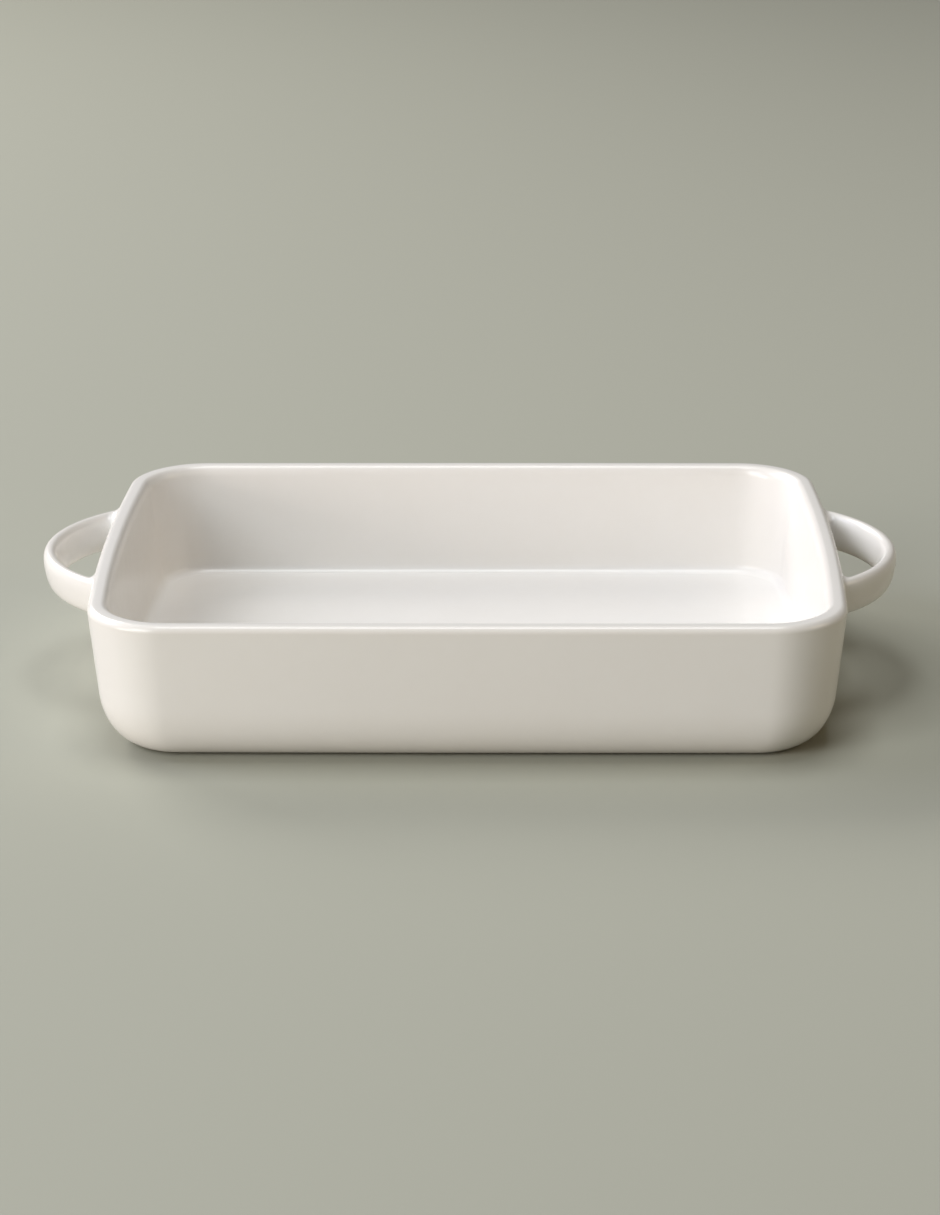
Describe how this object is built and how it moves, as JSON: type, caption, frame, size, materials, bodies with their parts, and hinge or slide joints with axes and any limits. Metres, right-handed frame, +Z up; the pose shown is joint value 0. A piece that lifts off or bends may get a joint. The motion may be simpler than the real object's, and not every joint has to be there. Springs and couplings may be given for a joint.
{
  "type": "lasagna dish",
  "caption": "Deep oblong glazed stoneware baking dish with soft corners, a rounded rim and a loop handle on each end wall.",
  "frame": {"origin": "centre of the dish on the plane that its foot ring stands on", "axes": "+Z up out of the dish, +X along its length towards the right-hand handle, +Y along its width"},
  "size_m": [0.4016, 0.2618, 0.066],
  "materials": {
    "white_glaze": "soft gloss off-white glaze over stoneware"
  },
  "bodies": {
    "root": {"dish_body": "white_glaze", "left_handle": "white_glaze", "right_handle": "white_glaze"}
  },
  "joints": []
}
